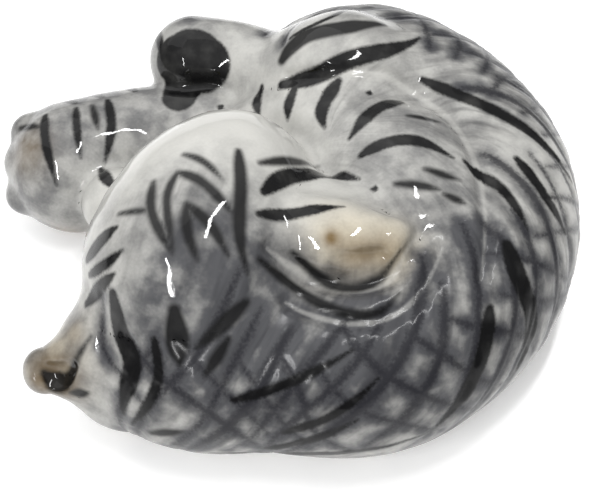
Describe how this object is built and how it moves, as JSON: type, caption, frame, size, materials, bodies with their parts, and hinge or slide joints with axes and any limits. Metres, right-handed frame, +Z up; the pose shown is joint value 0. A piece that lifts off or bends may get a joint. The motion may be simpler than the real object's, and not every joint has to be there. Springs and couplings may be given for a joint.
{
  "type": "cat figurine",
  "caption": "Small glazed ceramic tabby cat lying curled on its side, hollow body and head, flat base to stand on a table.",
  "frame": {"origin": "on the flat base, under the chest", "axes": "+Z up; +X across the curl, from the paws to the back; +Y from the shoulders to the rump"},
  "size_m": [0.0638, 0.0569, 0.0265],
  "materials": {
    "body_glaze": "glossy clear glaze over grey and black brushwork",
    "head_glaze": "glossy clear glaze over grey and black brushwork",
    "leg_glaze": "glossy clear glaze over grey and black brushwork",
    "ear_glaze": "glossy clear glaze over tan shading"
  },
  "bodies": {
    "root": {"torso": "body_glaze", "head": "head_glaze", "left_ear": "ear_glaze", "right_ear": "ear_glaze", "upper_foreleg": "leg_glaze", "lower_foreleg": "leg_glaze", "upper_hind_leg": "leg_glaze", "lower_hind_leg": "leg_glaze", "tail": "body_glaze"}
  },
  "joints": []
}
